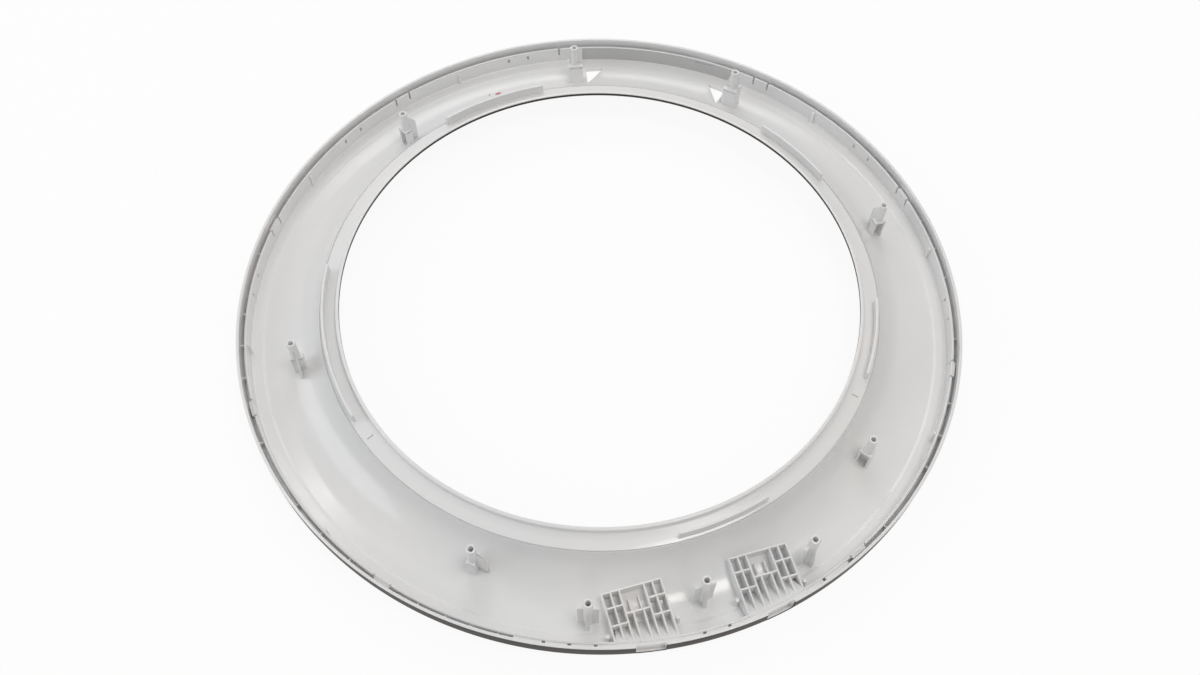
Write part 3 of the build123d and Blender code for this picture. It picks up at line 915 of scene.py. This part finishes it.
# %% Rib grids and pins
grid_length, grid_height, grid_rib, rib_hair = 36.3, 13.0, 1.0, 0.06
panel_half, column_pitch, row_one, row_two, middle_row, middle_pitch = 7.4, 5.2, 9.0, 19.4, 14.4, 6.2
low_rib_length, low_rib_height = 9.0, 7.4
rib_round, rib_edge, rib_flare = 0.25, 0.2, 0.35
pin_radius, pin_height, pin_inset, pin_gap, pin_sides = 1.3, 11.0, 12.0, 2.6, 24
grid_start = fence_inner - grid_length
half_rib = grid_rib / 2


def grid_plans(side):
    """Rectangles of one grid's ribs and their heights, drawn along the hinge direction.

    A long rib ends inside the fence: its end is the root of the fence's radius squared less its offset
    squared.
    """
    def along(start, y, height, end=None):
        if end is None:
            end = np.sqrt((fence_inner + sink) ** 2 - (abs(side * grid_spread + y) + half_rib) ** 2)
        return (start, end, y - half_rib, y + half_rib, height)

    def across(start, y0, y1):
        return (start, start + grid_rib, *sorted((y0, y1)), grid_height - rib_hair)

    edge, middle = panel_half + 2 * column_pitch, grid_start + middle_row
    long_places = [way * (panel_half + column_pitch * k) for k in range(3) for way in (-1, 1)]
    short_places = (-middle_pitch / 2, middle_pitch / 2)
    plans = [along(grid_start, y, grid_height) for y in long_places]
    plans += [across(grid_start + row, way * panel_half, way * edge)
              for row in (row_one, row_two) for way in (-1, 1)]
    plans += [across(grid_start, -edge, edge), across(middle, -panel_half, panel_half)]
    plans += [along(middle, y, grid_height - 2 * rib_hair) for y in short_places]
    plans += [along(middle - low_rib_length, y, low_rib_height, middle + half_rib) for y in short_places]
    return plans


ribs = []
circle = np.radians(np.linspace(0, 360, pin_sides, endpoint=False))
pin = pin_radius * np.stack([np.cos(circle), np.sin(circle)], -1)
for side in (-1, 1):
    for *sides, top in grid_plans(side):
        rib = placed(plate(*sides, rib_round), hinge_angle, 0, side * grid_spread)
        ribs.append(raised(rib, top, rib_edge, rib_flare))
    for way in (-1, 1):
        across = side * grid_spread + way * (grid_half_width + pin_gap)
        ribs.append(raised(placed(pin, hinge_angle, fence_inner - pin_inset, across), pin_height))
make_piece("hinge_grids", gather(ribs), [white])

# %% [markdown]
# Behind each grid a ramp climbs to the fence, and the groove is filled, because the hinge arm pulls there.
# In front of the notch the filling stops short of the skirt, so it is made of three bars along the arc.

# %% Ramps and groove fillings
ramp_width, ramp_drop, filling_drop, skirt_sink, notch_gap = 14.0, 2.0, 0.4, 0.05, 0.6
block_round, block_edge = 0.3, 0.2
ramp_top, ramp_root = fence_height - ramp_drop, dish_wall - root_depth
ramp_section = [(fence_inner - ramp_width, ramp_root), (fence_inner + sink, ramp_root),
                (fence_inner + sink, ramp_top), (fence_inner, ramp_top),
                (fence_inner - ramp_width, dish_wall)]
half_arm = arc_degrees(grid_half_width, fence_inner)
half_notch = arc_degrees(notch_length / 2, outer_radius)


def block(corners, start, end):
    """A bar of the hinge side: a section with small rounds, carried along an arc."""
    return arc_bar(corners, start, end, block_round, block_edge)


def filling(start, end, outer, top):
    """A bar that fills the groove from the fence to an outer radius."""
    inner, low = fence_outer - sink, groove_floor - sink
    return block([(inner, low), (outer, low), (outer, top), (inner, top)], start, end)


blocks = []
filling_top = fence_height - filling_drop
for arm, notch in zip(arm_angles, notch_angles):
    start, end = arm - half_arm, arm + half_arm
    notch_start, notch_end = notch - half_notch, notch + half_notch
    blocks += [block(ramp_section, start, end),
               filling(start, notch_start + tuck, skirt_inner + skirt_sink, filling_top),
               filling(notch_start, notch_end, skirt_inner - notch_gap, filling_top - hem),
               filling(notch_end - tuck, end, skirt_inner + skirt_sink, filling_top)]
print("ramps and fillings:", len(blocks))

# %% [markdown]
# Between and beside the arms the inner frame is held by a row of long catches on the fence's outer face,
# with small gaps between them. They go into the same piece as the ramps.

# %% Hinge catches
hinge_catch_span, hinge_catch_gap = (-28.0, 21.5), 1.9
hinge_catch_gaps = (-23.8, -20.3, -16.7, -1.7, 1.9, 17.1)
hinge_catch_drop, hinge_catch_height, hinge_catch_depth = 0.7, 4.0, 1.7
catch_top = fence_height - hinge_catch_drop
catch_low = catch_top - hinge_catch_height
catch_inner, catch_outer = fence_outer - overlap, fence_outer + hinge_catch_depth
hinge_catch_section = [(catch_inner, catch_low), (catch_outer, catch_low),
                       (catch_outer, catch_top), (catch_inner, catch_top)]
first, last = hinge_angle + np.array(hinge_catch_span)
gaps = hinge_angle + spans(hinge_catch_gaps, hinge_catch_gap, fence_outer)
bounds = np.concatenate([[first], gaps.ravel(), [last]]).reshape(-1, 2)
blocks += [block(hinge_catch_section, start, end) for start, end in bounds]
make_piece("hinge_blocks", gather(blocks), [white])

# %% [markdown]
# ## Floor and light
# The frame lies on a pale floor in soft studio light. The floor is nearly white to the camera and still
# keeps a soft shadow: most of it glows, a little more for rays that see it directly, and the rest is lit. It
# lies a tenth of a millimetre under the ring, so that the two never share a plane, and it is clear from
# below, so that the front can be looked at too.

# %% Floor
floor_half, floor_drop = 4.0, 0.0001
floor_glow, floor_glow_seen = 0.75, 0.18
floor_mesh = bpy.data.meshes.new("floor")
floor_corners = [(x * floor_half, y * floor_half, -floor_drop)
                 for x, y in ((-1, -1), (1, -1), (1, 1), (-1, 1))]
floor_mesh.from_pydata(floor_corners, [], [(0, 1, 2, 3)])
floor = bpy.data.objects.new("floor", floor_mesh)
bpy.context.scene.collection.objects.link(floor)


def seen_directly(tree):
    """1 for rays that come from the camera, from a mirror-like surface or through clear plastic."""
    camera_ray, glossy, through = (
        Wire(tree).make("ShaderNodeLightPath", output=name)
        for name in ("Is Camera Ray", "Is Glossy Ray", "Is Transmission Ray"))
    return through.math("MAXIMUM", camera_ray.math("MAXIMUM", camera_ray, glossy), through)


pale = bpy.data.materials.new("pale_floor")
pale.use_nodes = True
pale_shader = pale.node_tree.nodes["Principled BSDF"]
pale_shader.inputs["Base Color"].default_value = (0.9, 0.9, 0.9, 1)
pale_shader.inputs["Roughness"].default_value = 0.9
pale_shader.inputs["Specular IOR Level"].default_value = 0.1
seen = seen_directly(pale.node_tree)
glow = seen.make("ShaderNodeEmission", {}, {"Color": (1, 1, 1, 1), "Strength": 1.0})
lit = Wire(pale.node_tree, pale_shader.outputs["BSDF"])
blend = seen.make("ShaderNodeMixShader", {}, {0: floor_glow + floor_glow_seen * seen, 1: lit, 2: glow})
from_below = seen.make("ShaderNodeNewGeometry", output="Backfacing")
clear = seen.make("ShaderNodeBsdfTransparent")
one_sided = seen.make("ShaderNodeMixShader", {}, {0: from_below, 1: blend, 2: clear})
pale.node_tree.links.new(one_sided.socket, pale.node_tree.nodes["Material Output"].inputs["Surface"])
floor_mesh.materials.append(pale)
print("floor ready")

# %% [markdown]
# A white sky lights everything evenly and shows white behind the part, but lights it with less than half of
# that. A warm lamp above, a cool one at the side and a neutral one behind give the slopes their different
# tones, and a small lamp leaves the bright streaks on the dish. Each stands well off and aims at the middle.

# %% Lamps and sky
sky_light = 0.46
lamps = (
    ("ceiling_lamp", (0.5, -0.3, 1.8), (0.6, 0.55), 8.0, (1.0, 0.965, 0.925)),
    ("side_fill", (-1.5, -0.1, 0.7), (1.4, 0.9), 6.0, (0.91, 0.955, 1.0)),
    ("rear_fill", (-0.1, 1.3, 1.4), (1.2, 0.8), 6.0, (0.985, 0.985, 0.99)),
    ("window_lamp", (-0.67, 0.60, 1.78), (0.15, 0.1), 0.6, (1.0, 0.99, 0.96)),
)
world = bpy.data.worlds.new("studio")
bpy.context.scene.world = world
world.use_nodes = True
sky = world.node_tree.nodes["Background"]
join(sky_light + (1 - sky_light) * seen_directly(world.node_tree), sky, "Strength")
sky.inputs["Color"].default_value = (1, 1, 1, 1)


def stand(obj, right, upward, back, place):
    """Puts a lamp or the camera into the scene: its own axes and its place are the columns of its matrix."""
    bpy.context.scene.collection.objects.link(obj)
    matrix = np.eye(4)
    matrix[:3] = np.column_stack([right, upward, back, place])
    obj.matrix_world = matrix.T.tolist()


def add_lamp(name, place, size, power, colour):
    """An area lamp of a width and a length at a place, turned to shine at the middle of the ring."""
    lamp = bpy.data.lights.new(name, "AREA")
    lamp.shape, lamp.energy, lamp.color = "RECTANGLE", power, colour
    lamp.size, lamp.size_y = size
    back = np.array(place) / np.linalg.norm(place)
    side = np.cross((0.0, 0.0, 1.0), back)
    side = side / np.linalg.norm(side)
    stand(bpy.data.objects.new(name, lamp), side, np.cross(back, side), back, place)


for lamp in lamps:
    add_lamp(*lamp)
print("lamps:", len(lamps))

# %% [markdown]
# ## Camera
# The camera stands where the photographer stood: in front of the hinge side, looking down. Its height,
# distance, tilt and focal length follow from the ellipses of the ring's edges.

# %% Camera
sight_height, sight_distance, tilt_down, roll, yaw = 55.75, 0.70778, 2.60, 0.99, -0.08
focal_pixels, picture_pixels, sensor_width = 1053.66, 1200, 36.0
aim_height = skirt_height * MM
rise = np.radians(sight_height)
eye = np.array([0, -np.cos(rise), np.sin(rise)]) * sight_distance + (0, 0, aim_height)
look, swing, lean = np.radians(sight_height + tilt_down), np.radians(yaw), np.radians(roll)
back = np.array([np.sin(swing) * np.cos(look), -np.cos(swing) * np.cos(look), np.sin(look)])
right = np.array([np.cos(swing), np.sin(swing), 0])
upward = np.cross(back, right)
right, upward = (np.cos(lean) * right + np.sin(lean) * upward, np.cos(lean) * upward - np.sin(lean) * right)
camera_data = bpy.data.cameras.new("camera")
camera_data.sensor_fit, camera_data.sensor_width = "HORIZONTAL", sensor_width
camera_data.lens = sensor_width * focal_pixels / picture_pixels
camera_data.clip_start, camera_data.clip_end = 0.01, 20.0
camera = bpy.data.objects.new("camera", camera_data)
stand(camera, right, upward, back, eye)
bpy.context.scene.camera = camera
bpy.context.scene.view_settings.view_transform = "Standard"
print("camera at", np.round(eye, 3))
